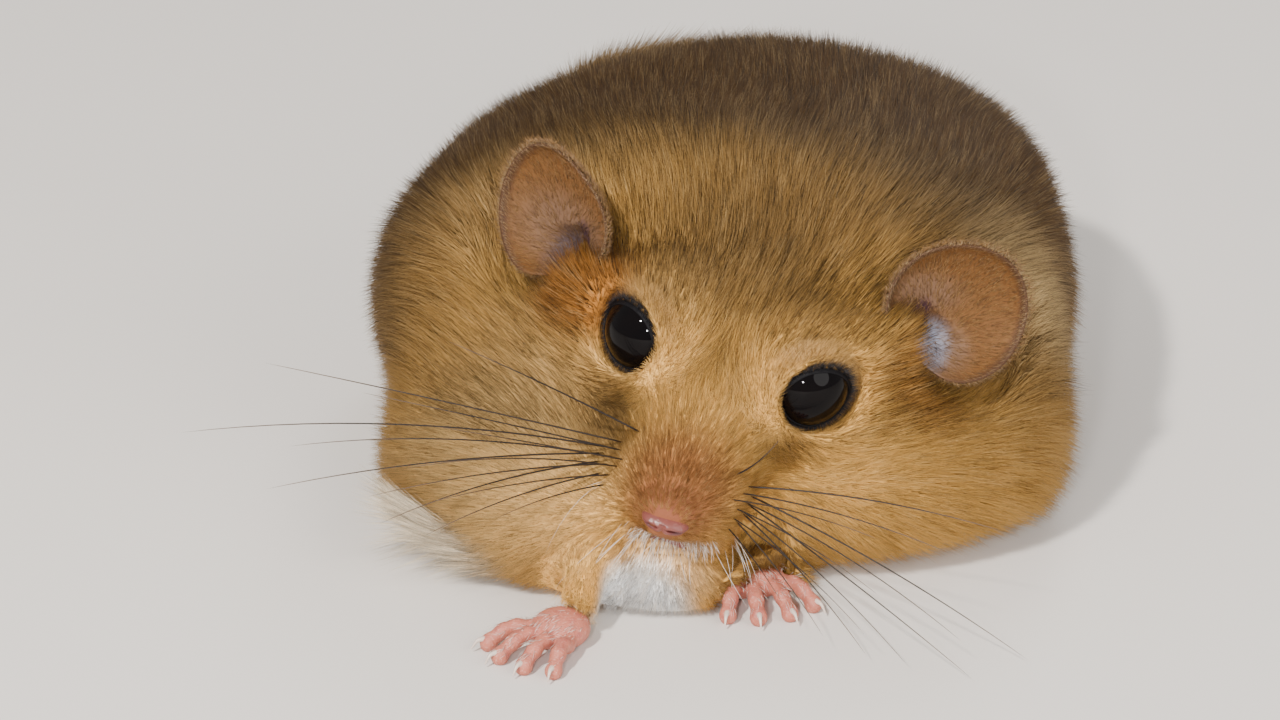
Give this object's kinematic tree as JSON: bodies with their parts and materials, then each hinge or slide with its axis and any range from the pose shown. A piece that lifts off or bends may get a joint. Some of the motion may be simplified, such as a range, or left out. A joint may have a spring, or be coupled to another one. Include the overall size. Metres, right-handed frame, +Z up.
{
  "type": "hazel dormouse",
  "caption": "Life-size museum model of a very plump hazel dormouse lying at rest, with golden fur, round ears, large black eyes, long whiskers and a bushy tail.",
  "frame": {"origin": "middle of the footprint box at the level of the flats it rests on", "axes": "+Z up, -Y the way the nose and body point, +X the animal's own left side, +Y towards the tail"},
  "size_m": [0.0542, 0.098, 0.0256],
  "materials": {
    "coat": "dense soft fur, golden tan on the face and flanks and olive brown on the back",
    "coat_pale": "short cream to white fur of the throat, belly and forelegs",
    "ear_skin": "thin brown skin with a down of fine short hair",
    "eye": "wet glossy black",
    "nose": "moist pink skin",
    "whisker": "stiff dark brown hairs that thin to a point",
    "paw_skin": "bare pink skin with fine folds"
  },
  "bodies": {
    "root": {"head": "coat", "neck": "coat", "torso": "coat", "tail_base": "coat", "tail_middle": "coat", "tail_tip": "coat", "hindleg_left": "coat", "hindleg_right": "coat", "foreleg_left": "coat_pale", "foreleg_right": "coat_pale", "ear_left": "ear_skin", "ear_right": "ear_skin", "eye_left": "eye", "eye_right": "eye", "nose": "nose", "whisker_pad_left": "whisker", "whisker_pad_right": "whisker", "forepaw_left": "paw_skin", "forepaw_right": "paw_skin", "hindfoot_left": "paw_skin", "hindfoot_right": "paw_skin"}
  },
  "joints": []
}
